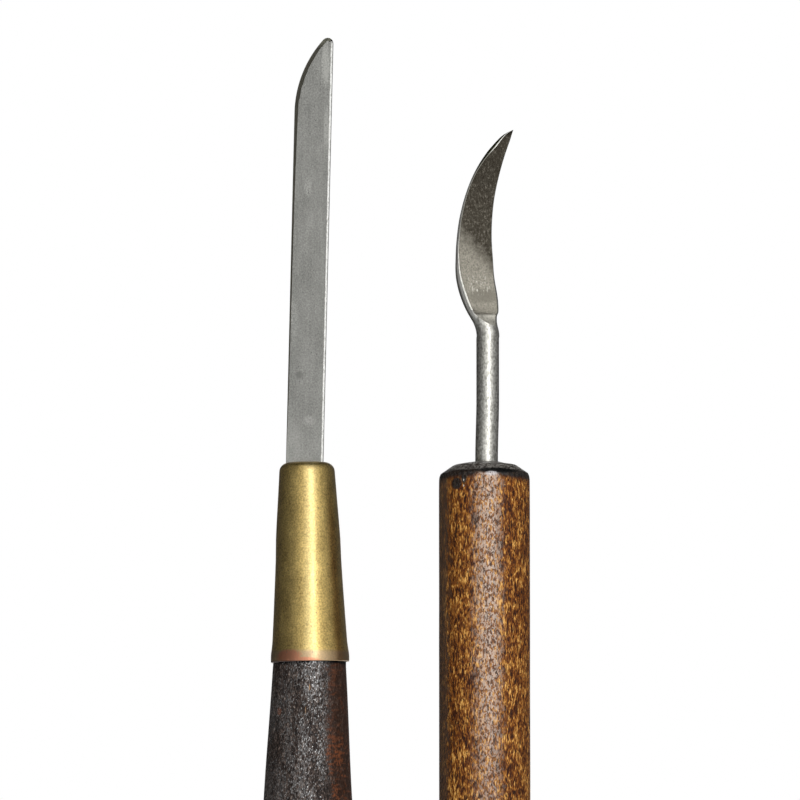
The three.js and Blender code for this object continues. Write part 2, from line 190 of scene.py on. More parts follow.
# Columns of the hook's mesh, from its back edge round the front, and what they carry
FRONT_BACK_RIM = 12
FRONT_POLISHED = 10  # from here on the rim is rubbed bright, nearly level with the face
POLISHED_SLOPE = 0.15
FRONT_FACE = 26
FRONT_HOLLOW_RIM = 7
BACK_COLUMNS = 40
RIM_SHARE = "rim_share"  # 0 at the blade's back edge and 1 where its ground face begins
# Widths of the forged rims left beside the ground face, by height
BACK_RIM = (
    (0, 0.7), (2.2, 0.8), (3.5, 0.95), (5, 1), (6.4, 0.9), (7.5, 0.8), (9.6, 0.5), (11.5, 0.4),
    (16, 0.38), (20, 0.27), (24, 0.34), (26, 0.75), (27.4, 0.95), (28.45, 0.6),
)
HOLLOW_RIM = (
    (0, 0.3), (0.8, 0.22), (2.4, 0.12), (4.5, 0.24), (6.5, 0.2), (9, 0.09), (28.45, 0.04),
)

CREASE = math.radians(24)
STRIP_CREASE = math.radians(14)  # its chamfer is a shallow one


def rgb(red, green, blue):
    return (red, green, blue, 1)


def smoothstep(value, low, high):
    share = min(1, max(0, (value - low) / (high - low)))
    return share * share * (3 - 2 * share)


class Value:
    """A number that varies over a surface. Python's operators add its Math nodes."""

    def __init__(self, tree, socket):
        self.tree = tree
        self.socket = socket

    def math(self, operation, first, second):
        return self.tree.node("Math", {"operation": operation}, {0: first, 1: second})

    def __add__(self, other):
        return self.math("ADD", self, other)

    def __sub__(self, other):
        return self.math("SUBTRACT", self, other)

    def __rsub__(self, other):
        return self.math("SUBTRACT", other, self)

    def __mul__(self, other):
        return self.math("MULTIPLY", self, other)

    def __truediv__(self, other):
        return self.math("DIVIDE", self, other)

    def __or__(self, other):
        return self.math("MAXIMUM", self, other)

    __radd__ = __add__
    __rmul__ = __mul__

    def rise(self, low, high):
        """0 below low and 1 above high, with a soft step between them, or the other way round."""
        settings = {"interpolation_type": "SMOOTHSTEP"}
        return self.tree.node("MapRange", settings, {0: self, 1: low, 2: high, 3: 0, 4: 1})

    def ramp(self, *stops):
        """A colour for the number, from stops of (position, colour)."""
        return self.tree.node("ValToRGB", {"stops": stops}, {0: self})


class NodeTree:
    """The emptied node tree of a material or a world."""

    def __init__(self, owner):
        owner.use_nodes = True
        self.nodes = owner.node_tree.nodes
        self.links = owner.node_tree.links
        self.nodes.clear()

    def node(self, kind, settings=None, inputs=None, output=0):
        """Adds a node: its settings first, then the values or links of its sockets."""
        made = self.nodes.new("ShaderNode" + kind)
        for key, value in (settings or {}).items():
            if key == "stops":
                for at, colour in value[2:]:
                    made.color_ramp.elements.new(at)
                for element, (at, colour) in zip(made.color_ramp.elements, sorted(value)):
                    element.position = at
                    element.color = colour
            else:
                setattr(made, key, value)
        for key, value in (inputs or {}).items():
            if isinstance(value, Value):
                self.links.new(value.socket, made.inputs[key])
            else:
                made.inputs[key].default_value = value
        return Value(self, made.outputs[output]) if made.outputs else None


class Finish(NodeTree):
    """A material under construction. Its x, y and z are millimetres from the given origin."""

    def __init__(self, name, origin):
        self.material = bpy.data.materials.new(name)
        super().__init__(self.material)
        place = self.node("TexCoord", output="Object")
        inputs = {"Vector": place, "Location": -origin / MM, "Scale": (1 / MM, 1 / MM, 1 / MM)}
        self.point = self.node("Mapping", inputs=inputs)
        self.x, self.y, self.z = (
            self.node("SeparateXYZ", inputs={0: self.point}, output=axis) for axis in range(3)
        )

    def stretched(self, sizes, shift):
        """The point in units of a pattern's sizes along X, Y and Z."""
        inputs = {0: self.point, 1: [1 / size for size in sizes], 2: (shift, shift * 1.7, shift * 2.3)}
        return self.node("VectorMath", {"operation": "MULTIPLY_ADD"}, inputs)

    def cloud(self, sizes, detail=2, roughness=0.55, shift=0, distortion=0):
        """Noise from 0 to 1 whose patches have about the given sizes in millimetres."""
        inputs = {
            "Vector": self.stretched(sizes, shift),
            "Scale": 1,
            "Detail": detail,
            "Roughness": roughness,
            "Distortion": distortion,
        }
        return self.node("TexNoise", inputs=inputs)

    def cells(self, sizes, shift):
        """Distance to the nearest of scattered points, in units of the given sizes."""
        return self.node("TexVoronoi", inputs={"Vector": self.stretched(sizes, shift), "Scale": 1})

    def spot(self, x, z, width, height, soft=0.5):
        """1 in an oval on the front of the piece, fading out at its edge."""
        across = (self.x - x) / width
        along = (self.z - z) / height
        return (across * across + along * along).rise(1 + soft, 1 - soft) * self.y.rise(0.2, -0.2)

    def mix(self, share, low, high):
        return self.node("Mix", {"data_type": "RGBA"}, {0: share, 6: low, 7: high}, 2)

    def bump(self, height, depth):
        """Dents the surface by the height, where 1 stands depth millimetres above 0."""
        return self.node("Bump", inputs={"Height": height, "Distance": depth * MM})

    def done(self, **sockets):
        """Ends the material with its shader, whose sockets are named with _ for a space."""
        inputs = {key.replace("_", " "): value for key, value in sockets.items()}
        shader = self.node("BsdfPrincipled", inputs=inputs)
        self.node("OutputMaterial", inputs={"Surface": shader})
        return self.material

    def metal(self, colour, roughness, dents, depth):
        """Ends the material as bare metal with a dented surface."""
        normal = self.bump(dents, depth)
        return self.done(Base_Color=colour, Metallic=1.0, Roughness=roughness, Normal=normal)


def table(rows, soft=1.0):
    """A smooth function through given (place, value) rows, evened out over a stretch."""
    places, values = zip(*rows)
    fine = np.linspace(places[0] - soft, places[-1] + soft, 600)
    width = max(1, round(soft / (fine[1] - fine[0])))
    level = np.interp(fine, places, values)
    padded = np.pad(level, width, mode="edge")
    even = np.convolve(padded, np.ones(2 * width + 1) / (2 * width + 1), mode="valid")
    return lambda place: float(np.interp(place, fine, even))


def finished(name, bm, node, materials, crease=CREASE):
    """Makes the worked mesh a piece that stands for its CAD node."""
    mesh = bpy.data.meshes.new(name)
    bm.to_mesh(mesh)
    bm.free()
    mesh.shade_smooth()
    mesh.set_sharp_from_angle(angle=crease)
    for material in materials:
        mesh.materials.append(material)
    made = bpy.data.objects.new(name, mesh)
    bpy.context.scene.collection.objects.link(made)
    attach(made, "root")
    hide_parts(node)
    return made


def cut_up(bm, longest):
    """Divides each edge into pieces of at most about the given length."""
    for edge in list(bm.edges):
        cuts = int(edge.calc_length() / longest)
        if cuts:
            bmesh.ops.subdivide_edges(bm, edges=[edge], cuts=cuts)


def full_spin(bm, steps):
    bmesh.ops.spin(
        bm, geom=bm.verts[:] + bm.edges[:], cent=(0, 0, 0), axis=(0, 0, 1), angle=2 * math.pi,
        steps=steps, use_merge=True,
    )


def turned(profile):
    """Turns a profile round Z. Its rows are (radius, height, reach): the reach is how far a
    corner's rounding runs along the lines beside it, and 0 leaves the corner sharp."""
    bm = bmesh.new()
    corners = [bm.verts.new((radius, 0, height)) for radius, height, _ in profile]
    for start, end in zip(corners, corners[1:]):
        bm.edges.new((start, end))
    for corner, (_, _, reach) in zip(corners, profile):
        if reach:
            bmesh.ops.bevel(
                bm, geom=[corner], affect="VERTICES", offset=reach, offset_type="OFFSET", segments=6,
                profile=0.5, material=-1,
            )
    cut_up(bm, RING_GAP)
    full_spin(bm, HANDLE_SIDES)
    bmesh.ops.remove_doubles(bm, verts=bm.verts, dist=0.0005 * MM)
    bmesh.ops.recalc_face_normals(bm, faces=bm.faces)
    return bm


def unevenness(bm, below, seed):
    """Lets the wood's surface wander a little inwards, in long waves along the grain."""
    for vert in bm.verts:
        radius = vert.co.xy.length
        if radius > DOWEL / 2 and vert.co.z < below:
            turn = vert.co.xy / radius
            across = noise.noise(Vector((turn.x * 2.6, turn.y * 2.6, vert.co.z / WOOD_WAVE + seed)))
            vert.co.xy += turn * (across - 1) * WOOD_UNEVEN


def ferrule_lean(height):
    """How far the ferrule stands off the knife's axis."""
    share = (height - FERRULE_FOOT) / (FERRULE_TOP - FERRULE_FOOT)
    return LEAN_FOOT + (LEAN_TOP - LEAN_FOOT) * share


def wood_lean(height):
    """The taper's own way off the axis, which turns into the ferrule's just inside its foot."""
    outside = WOOD_LEAN * smoothstep(height, LEAN_START, FERRULE_FOOT)
    inside = smoothstep(height, FERRULE_FOOT, FERRULE_FOOT + 1 * MM)
    return outside + (ferrule_lean(height) - outside) * inside


def taper(height):
    """The knife handle's radius on its taper, which the ferrule follows inside."""
    share = (height - (KNIFE_TOP - TAPER_LENGTH)) / TAPER_LENGTH
    return DOWEL + (NOSE_RADIUS - DOWEL) * share


def cut_between(bm, low, high):
    """Cuts the mesh along the six sides of a box and takes out the faces inside it."""
    for axis in range(3):
        for value in (low[axis], high[axis]):
            if abs(value) < FAR:
                way = Vector([other == axis for other in range(3)])
                geom = bm.verts[:] + bm.edges[:] + bm.faces[:]
                bmesh.ops.bisect_plane(bm, geom=geom, dist=1e-8, plane_co=way * value, plane_no=way)
    inside = []
    for face in bm.faces:
        middle = face.calc_center_median()
        if all(low[axis] < middle[axis] < high[axis] for axis in range(3)):
            inside.append(face)
    bmesh.ops.delete(bm, geom=inside, context="FACES")


def open_edges(bm):
    return [edge for edge in bm.edges if edge.is_boundary]


def knife_handle(material):
    start = KNIFE_TOP - TAPER_LENGTH
    bm = turned(
        (
            (0, 0, 0),
            (DOWEL, 0, BUTT_ROUND),
            (DOWEL, start, TAPER_BLEND),
            (NOSE_RADIUS, KNIFE_TOP, NOSE_ROUND),
            (0, KNIFE_TOP, 0),
        )
    )
    kerf_foot = FERRULE_TOP - TANG_LENGTH - TANG_GAP
    cut_between(bm, (-FAR, -KERF_HALF, kerf_foot), (FAR, KERF_HALF, FAR))
    for side in (-KERF_HALF, KERF_HALF):
        on_side = [vert for vert in bm.verts if abs(vert.co.y - side) < TOUCHING]
        foot = [vert for vert in on_side if abs(vert.co.z - kerf_foot) < TOUCHING]
        ends = max(foot, key=lambda vert: vert.co.x), min(foot, key=lambda vert: vert.co.x)
        if not bm.edges.get(ends):
            bm.edges.new(ends)
        above = {vert for vert in on_side if vert.co.z > kerf_foot - TOUCHING}
        rim = [edge for edge in bm.edges if len(edge.link_faces) < 2]
        wall = [edge for edge in rim if above.issuperset(edge.verts)]
        bmesh.ops.contextual_create(bm, geom=wall)
    bmesh.ops.contextual_create(bm, geom=open_edges(bm))
    bmesh.ops.recalc_face_normals(bm, faces=bm.faces)
    unevenness(bm, FERRULE_FOOT - 0.5 * MM, 3)
    for vert in bm.verts:
        vert.co.x += KNIFE_X + wood_lean(vert.co.z)
    return finished("knife_handle_stained", bm, "knife_handle", [material])


def knife_ferrule(material):
    def inner(height):
        return taper(height) + FERRULE_FIT

    flare_top = FERRULE_FOOT + FLARE_HEIGHT
    flare_foot = FERRULE_FOOT + LIP_HEIGHT
    lip = inner(FERRULE_FOOT) + FLARE
    bm = turned(
        (
            (0, FERRULE_TOP - SHEET, 0),
            (inner(FERRULE_TOP - SHEET), FERRULE_TOP - SHEET, FERRULE_CORNER - SHEET),
            (inner(flare_top), flare_top, 0.5 * MM),
            (lip - LIP_FLARE, flare_foot, 0.5 * MM),
            (lip, FERRULE_FOOT, SHEET * 0.3),
            (lip + SHEET, FERRULE_FOOT, SHEET * 0.45),
            (lip + SHEET - LIP_FLARE, flare_foot, 0.5 * MM),
            (inner(flare_top) + SHEET, flare_top, 0.7 * MM),
            (inner(FERRULE_TOP) + SHEET, FERRULE_TOP, FERRULE_CORNER * 1.06),
            (0, FERRULE_TOP, 0),
        )
    )
    reach_x = STRIP_WIDTH / 2 + SLOT_CLEARANCE
    reach_y = STRIP_THICKNESS / 2 + SLOT_CLEARANCE
    blade_x = STRIP_OFFSET - LEAN_TOP
    bottom = FERRULE_TOP - FERRULE_CORNER - SHEET
    cut_between(bm, (blade_x - reach_x, -reach_y, bottom), (blade_x + reach_x, reach_y, FAR))
    bmesh.ops.bridge_loops(bm, edges=open_edges(bm))
    bmesh.ops.recalc_face_normals(bm, faces=bm.faces)
    swell = table(FERRULE_SWELLS, 0.7)
    for vert in bm.verts:
        wander = noise.noise(Vector((vert.co.x, vert.co.y, vert.co.z * 0.6)) / (4.5 * MM))
        radius = vert.co.xy.length
        if radius > NOSE_RADIUS:
            vert.co.xy *= 1 + swell((vert.co.z - FERRULE_FOOT) / MM) * MM / radius
        vert.co.xy *= 1 + FERRULE_WANDER * wander
        upper = vert.co.z > (FERRULE_FOOT + FERRULE_TOP) / 2
        vert.co.z += vert.co.x * (FERRULE_SLANT if upper else FOOT_SLANT)
        vert.co.x += KNIFE_X + ferrule_lean(vert.co.z)
    return finished("knife_ferrule_drawn", bm, "knife_ferrule", [material])


def arc(centre_x, centre_z, reach_x, reach_z, start, end, steps):
    """Points of (x, z) along part of an ellipse."""
    turns = np.linspace(start, end, steps)
    return [(centre_x + reach_x * math.cos(t), centre_z + reach_z * math.sin(t)) for t in turns]


def strip_outline():
    """The strip's outline with its tang, anticlockwise from the tang's lower left."""
    half = STRIP_WIDTH / 2
    corner_x = half - TIP_CORNER
    corner_z = STRIP_LENGTH - TIP_CORNER
    arc_x = TIP_ARC - half
    arc_z = corner_z - math.sqrt((TIP_ARC - TIP_CORNER) ** 2 - (arc_x - corner_x) ** 2)
    meeting = math.atan2(corner_z - arc_z, corner_x - arc_x)
    foot = -TANG_LENGTH
    return [
        (TANG_CLIP - half, foot),
        (half - TANG_CLIP, foot),
        (half, foot + TANG_CLIP),
        *arc(corner_x, corner_z, TIP_CORNER, TIP_CORNER, 0, meeting, 7),
        *arc(arc_x, arc_z, TIP_ARC, TIP_ARC, meeting, math.pi, 40)[1:],
        (-half, foot + TANG_CLIP),
    ]


def knife_blade(satin, ground, chamfer, land):
    """The strip: its left edge and tip ground from the flat, its right edge only chamfered."""
    edge_width = table(EDGE_WIDTHS, 3)
    thick = STRIP_THICKNESS / 2
    corner_z = STRIP_LENGTH - TIP_CORNER
    bm = bmesh.new()
    outline = [bm.verts.new((x, 0, z)) for x, z in strip_outline()]
    for start, end in zip(outline, outline[1:] + outline[:1]):
        bm.edges.new((start, end))
    cut_up(bm, OUTLINE_GAP)

    def spine(place):
        """1 on the right edge, 0 on the left edge and round the tip."""
        below_tip = smoothstep(place.z, corner_z + 0.7 * MM, corner_z)
        return smoothstep(place.x, 1.2 * MM, 2.2 * MM) * below_tip

    def grind(place):
        return BURIED_GRIND + (1 - BURIED_GRIND) * smoothstep(place.z, -1.6 * MM, 0.2 * MM)

    def ragged(place, size):
        return 1 + RAGGED * noise.noise(Vector((place.x, place.y, place.z * 1.1)) / size)

    def rounding(place):
        return (EDGE_ROUND + (SPINE_ROUND - EDGE_ROUND) * spine(place)) * ragged(place, 0.8 * MM)

    def ground_width(place):
        edge = edge_width(place.z / MM) * MM
        width = edge + (SPINE_CHAMFER - edge) * spine(place)
        return width * ragged(place, 1.3 * MM) * grind(place)

    def ground_depth(place):
        edge = edge_width(place.z / MM) * MM * EDGE_SLOPE
        return (edge + (SPINE_CHAMFER_DEPTH - edge) * spine(place)) * grind(place)

    bmesh.ops.contextual_create(bm, geom=bm.edges[:])
    face = bm.faces[:][0]
    stages = ((rounding, lambda place: thick - ground_depth(place)), (ground_width, lambda place: thick))
    for vert in bm.verts:
        vert.co.y = -(thick - ground_depth(vert.co) - rounding(vert.co) * (0.5 + 0.7 * spine(vert.co)))
    for index, (width, depth) in enumerate(stages):
        unit = 0.1 * MM  # inset by this, and then by each place's own width
        rim = bmesh.ops.inset_region(
            bm, faces=[face], use_boundary=True, use_even_offset=True, thickness=unit
        )["faces"]
        for side in rim:
            side.material_index = 3 if index == 0 else 1
        inner = set(face.verts)
        for vert in face.verts:
            mate = next(e.other_vert(vert) for e in vert.link_edges if e.other_vert(vert) not in inner)
            place = Vector((mate.co.x, 0, mate.co.z))
            vert.co.x = mate.co.x + (vert.co.x - mate.co.x) * width(place) / unit
            vert.co.z = mate.co.z + (vert.co.z - mate.co.z) * width(place) / unit
            vert.co.y = -depth(place)
    for side in bm.faces:
        if side.material_index == 1 and spine(side.calc_center_median()) > 0.5:
            side.material_index = 2
    copy = bmesh.ops.duplicate(bm, geom=bm.verts[:] + bm.edges[:] + bm.faces[:])["geom"]
    back = [v for v in copy if isinstance(v, bmesh.types.BMVert)]
    bmesh.ops.scale(bm, verts=back, vec=(1, -1, 1))
    for side in bmesh.ops.bridge_loops(bm, edges=open_edges(bm))["faces"]:
        side.material_index = 3
    bmesh.ops.recalc_face_normals(bm, faces=bm.faces)
    place = Matrix.Translation(STRIP_ORIGIN) @ Matrix.Rotation(STRIP_LEAN, 4, "Y")
    bmesh.ops.transform(bm, matrix=place, verts=bm.verts)
    finishes = [satin, ground, chamfer, land]
    return finished("knife_blade_ground", bm, "knife_blade", finishes, STRIP_CREASE)


def hook_handle(material):
    crown_foot = CROWN_TOP - CROWN_RISE
    chamfer_foot = crown_foot - CROWN_CHAMFER
    shoulder = DOWEL - SHOULDER_INSET
    hole = (ROD + HOLE_CLEARANCE) * MM
    hole_foot = CROWN_TOP - (ROD_INSERT + HOLE_GAP) * MM
    bm = turned(
        (
            (0, 0, 0),
            (DOWEL, 0, BUTT_ROUND),
            (DOWEL, chamfer_foot - SHOULDER_INSET / 2, SHOULDER_HEIGHT * 0.8),
            (shoulder, chamfer_foot, 0.25 * MM),
            (CROWN_RADIUS, crown_foot, 0.35 * MM),
            (hole, CROWN_TOP, 0.06 * MM),
            (hole, hole_foot, 0),
            (0, hole_foot, 0),
        )
    )
    unevenness(bm, chamfer_foot - 2 * MM, 8)
    for vert in bm.verts:
        radius = vert.co.xy.length
        if radius > hole * 1.2 and vert.co.z > chamfer_foot - 3 * MM:
            sanded = smoothstep(vert.co.z, chamfer_foot - 2.6 * MM, chamfer_foot - 0.6 * MM)
            vert.co.xy *= 1 - SANDED * sanded
            edge = smoothstep(radius, CROWN_RADIUS * 0.8, CROWN_RADIUS * 1.1)
            rise = SHOULDER_LIFT + SHOULDER_TILT * vert.co.x / radius
            vert.co.z += rise * edge * smoothstep(vert.co.z, chamfer_foot - 2 * MM, chamfer_foot)
        if radius < hole * 1.1:
            vert.co.x += (ROD_OFFSET - ROD_BEND) * MM
        vert.co.x += HOOK_X
    return finished("hook_handle_stained", bm, "hook_handle", [material])


def edge_at(line):
    """The offset of a climbing line of (x, z) points, as a function of height."""
    offsets, heights = zip(*line)
    return lambda height: float(np.interp(height, heights, offsets))


def stray(edge, rows):
    """The edge with the stray of the hand work added."""
    extra = table(rows, 0.3)
    return lambda height: edge(height) + extra(height)


def swerve(start, end, share=0.5):
    """An S-shaped stretch that leaves straight up and arrives straight up."""
    turn = start[1] + (end[1] - start[1]) * share
    knots = [Vector((*point, 0)) for point in (start, (start[0], turn), (end[0], turn), end)]
    return [(point.x, point.y) for point in interpolate_bezier(*knots, 24)]


def hook_edges():
    """The hook's back and hollow edges as functions of height."""
    arc_x = NECK_ARC - BELLY
    fillet_x = -ROD - NECK_FILLET
    apart = NECK_ARC + NECK_FILLET
    foot = BELLY_HEIGHT - math.sqrt(apart**2 - (arc_x - fillet_x) ** 2)
    turn = math.acos((arc_x - fillet_x) / apart)
    bend_turn = math.acos((BACK_BEND - BELLY - HOOK_REACH) / BACK_BEND)
    bend_height = (HOOK_LENGTH - BELLY_HEIGHT) / math.sin(bend_turn)
    bend_x = BACK_BEND - BELLY
    back = [
        *arc(fillet_x, foot, NECK_FILLET, NECK_FILLET, 0, turn, 24),
        *arc(arc_x, BELLY_HEIGHT, NECK_ARC, NECK_ARC, math.pi + turn, math.pi, 60)[1:],
        *arc(bend_x, BELLY_HEIGHT, BACK_BEND, bend_height, math.pi, math.pi - bend_turn, 120)[1:],
    ]
    rise = HOOK_LENGTH - WAIST_HEIGHT
    reach = HOOK_REACH - WAIST
    radius = (rise**2 + reach**2) / (2 * reach)
    hollow_turn = math.asin(rise / radius)
    nick = (ROD - NICK_DEPTH, NICK_HEIGHT)
    shoulder = (HOLLOW_SHOULDER, SHOULDER_RISE)
    waist = (WAIST, WAIST_HEIGHT)
    hollow = [
        *swerve((ROD, foot), nick),
        *swerve(nick, shoulder)[1:],
        *swerve(shoulder, waist, WAIST_TURN)[1:],
        *arc(WAIST + radius, WAIST_HEIGHT, radius, radius, math.pi, math.pi - hollow_turn, 80)[1:],
    ]
    return stray(edge_at(back), BACK_STRAY), stray(edge_at(hollow), HOLLOW_STRAY), foot


def run_out_foot(x):
    """Height of the lower edge of the wheel's run-out, which slants across the neck."""
    return 1.13 - 0.486 * x + 0.161 * x * x


def face_foot(x):
    """Height where the run-out ends and the main face begins."""
    return 2.42 + 0.05 * (x - 1.33) ** 2


def level(height):
    return lambda x: height


def between(low, high, share):
    return lambda x: low(x) + (high(x) - low(x)) * share


def hook_stations():
    """The rings of the hook from the rod's end to the point: the height across each ring, and how
    far it has been ground: 0 on the forged rod, up to 1 on the run-out and 2 on the main face."""

    def steps(count):
        return np.linspace(0, 1, count + 1)[1:]

    def above_ledge(x):
        return face_foot(x) + LEDGE_HEIGHT

    stations = [(level(ROD_END), 0), (level(ROD_END + ROD_CHAMFER), 0)]
    stations += [(level(height), 0) for height in np.linspace(-SHANK_LENGTH - 1, NECK_FOOT, 22)]
    stations += [(between(level(NECK_FOOT), run_out_foot, share), 0) for share in steps(13)]
    stations += [(between(run_out_foot, face_foot, share), share) for share in steps(9)]
    stations += [(above_ledge, 1.5)]
    stations += [(between(above_ledge, level(LEVEL_FROM), share), 2) for share in steps(21)]
    ends = (1 - np.cos(np.linspace(0, math.pi, 150))) / 2
    climb = [LEVEL_FROM + (HOOK_LENGTH - LEVEL_FROM) * share for share in ends if share > 0.004]
    stations += [(level(min(height, HOOK_LENGTH - 0.01)), 2) for height in climb[:-1]]
    return stations


def hook_blade(bright, ground, polished):
    back_edge, hollow_edge, foot = hook_edges()
    back_rim = table(BACK_RIM, 2.2)
    hollow_rim = table(HOLLOW_RIM, 1.5)
    front = FRONT_BACK_RIM + FRONT_FACE + FRONT_HOLLOW_RIM
    columns = front + BACK_COLUMNS
    stations = hook_stations()

    def section(height):
        """Edges, half thickness and squareness of the forged section."""
        left = back_edge(height) if height > foot else -ROD
        right = hollow_edge(height) if height > foot else ROD
        flattened = smoothstep(height, foot, FLATTENED_BY)
        share = max(0, (height - FLATTENED_BY) / (HOOK_LENGTH - FLATTENED_BY))
        drawn_out = (1.1 * share * share / (share + 0.1)) ** 0.75
        forged = NECK_HALF + (POINT_HALF - NECK_HALF) * drawn_out
        half = ROD + (forged - ROD) * flattened
        square = 2 + (SQUARENESS - 2) * flattened
        if height < ROD_END + ROD_CHAMFER * 0.99:
            half = ROD - ROD_CHAMFER
            left, right = -half, half
        return left, right, half, square

    def forged_depth(x, height):
        left, right, half, square = section(height)
        share = min(1, abs((x - (left + right) / 2) / max(1e-6, (right - left) / 2)))
        return half * (1 - share**square) ** (1 / square)

    def rims(height):
        """The edges of the ground face. Each rim keeps a place of its own down the rod."""
        left, right, _, _ = section(height)
        width = right - left
        return left + min(back_rim(height), width * 0.3), right - min(hollow_rim(height), width * 0.2)

    def face_depth(x, height):
        start, end = rims(height)
        near = forged_depth(start, height)
        far = forged_depth(end, height)
        return near + (far - near) * (x - start) / (end - start)

    def across(column, height):
        """Where a column crosses the given height, and whether it lies on the front."""
        left, right, _, _ = section(height)
        start, end = rims(height)
        if column <= FRONT_BACK_RIM:
            share = 1 - math.cos(column / FRONT_BACK_RIM * math.pi / 2)
            return left + (start - left) * share, True
        if column <= FRONT_BACK_RIM + FRONT_FACE:
            share = (column - FRONT_BACK_RIM) / FRONT_FACE
            return start + (end - start) * share, True
        if column < front:
            share = math.sin((column - FRONT_BACK_RIM - FRONT_FACE) / FRONT_HOLLOW_RIM * math.pi / 2)
            return end + (right - end) * share, True
        share = math.cos((column - front) / BACK_COLUMNS * math.pi)
        return (left + right) / 2 + (right - left) / 2 * share, False

    def place(column, station):
        line, stage = stations[station]
        height = line(0)
        for _ in range(4):  # closes in on where the column meets the slanted ring
            x, in_front = across(column, height)
            height = line(max(SLANT_REACH[0], min(SLANT_REACH[1], x)))
        x, in_front = across(column, height)
        depth = forged_depth(x, height)
        if in_front:
            face = FRONT_BACK_RIM <= column <= FRONT_BACK_RIM + FRONT_FACE
            if face and 0 < stage <= 1:
                low = forged_depth(x, run_out_foot(x))
                high = face_depth(x, face_foot(x)) + LEDGE
                depth = min(depth, low + (high - low) * (1 - (1 - stage) ** 1.5))
            elif face and stage > 1:
                depth = min(depth, face_depth(x, height))
            elif FRONT_POLISHED <= column < FRONT_BACK_RIM and stage > 0:
                start, _ = rims(height)
                level_with_face = forged_depth(start, height) - (start - x) * POLISHED_SLOPE
                depth += (level_with_face - depth) * min(1, stage)
            depth = -depth
        down = -height - (SHANK_LENGTH - ROD_BEND_HEIGHT)
        x -= ROD_BEND * smoothstep(down, 0, ROD_BEND_HEIGHT)
        return Vector((x, depth, height))

    bm = bmesh.new()
    line = [bm.verts.new((1, 0, station)) for station in range(len(stations))]
    for start, end in zip(line, line[1:]):
        bm.edges.new((start, end))
    full_spin(bm, columns)

    def column_at(point):
        return math.atan2(point.y, point.x) / (2 * math.pi) * columns

    for side in bm.faces:
        middle = side.calc_center_median()
        column = column_at(middle) % columns
        if stations[math.ceil(middle.z)][1] > 0:
            if FRONT_BACK_RIM < column < FRONT_BACK_RIM + FRONT_FACE:
                side.material_index = 1
            elif FRONT_POLISHED < column < FRONT_BACK_RIM:
                side.material_index = 2
    rim_share = bm.verts.layers.float.new(RIM_SHARE)
    for vert in bm.verts:
        column = round(column_at(vert.co)) % columns
        vert[rim_share] = 1 - math.cos(min(1, column / FRONT_BACK_RIM) * math.pi / 2)
        vert.co = place(column, round(vert.co.z))
    bmesh.ops.holes_fill(bm, edges=open_edges(bm), sides=0)
    bmesh.ops.recalc_face_normals(bm, faces=bm.faces)
    for vert in bm.verts:
        vert.co = vert.co * MM + HOOK_ORIGIN
    return finished("hook_blade_ground", bm, "hook_blade", [bright, ground, polished])


# The finishes. Each is laid out in millimetres from a point that shows on its piece.
KNIFE_ORIGIN = Vector((KNIFE_X, 0, FERRULE_FOOT))
STRIP_ORIGIN = Vector((KNIFE_X + STRIP_OFFSET, 0, FERRULE_TOP))
CROWN_ORIGIN = Vector((HOOK_X, 0, CROWN_TOP))
HOOK_ORIGIN = Vector((HOOK_X + ROD_OFFSET * MM, 0, CROWN_TOP + SHANK_LENGTH * MM))

# Darker spots of the brown stain: x, z, half width and half height
BROWN_SHADOWS = (
    (-1.8, -5.5, 0.5, 4),
    (-1.3, -8.4, 0.9, 1.6),
    (2.6, -12.4, 0.9, 1.6),
    (-0.3, -16.8, 0.8, 1.6),
    (5, -19.6, 0.8, 1.6),
    (-5.2, -12, 0.6, 5),
)


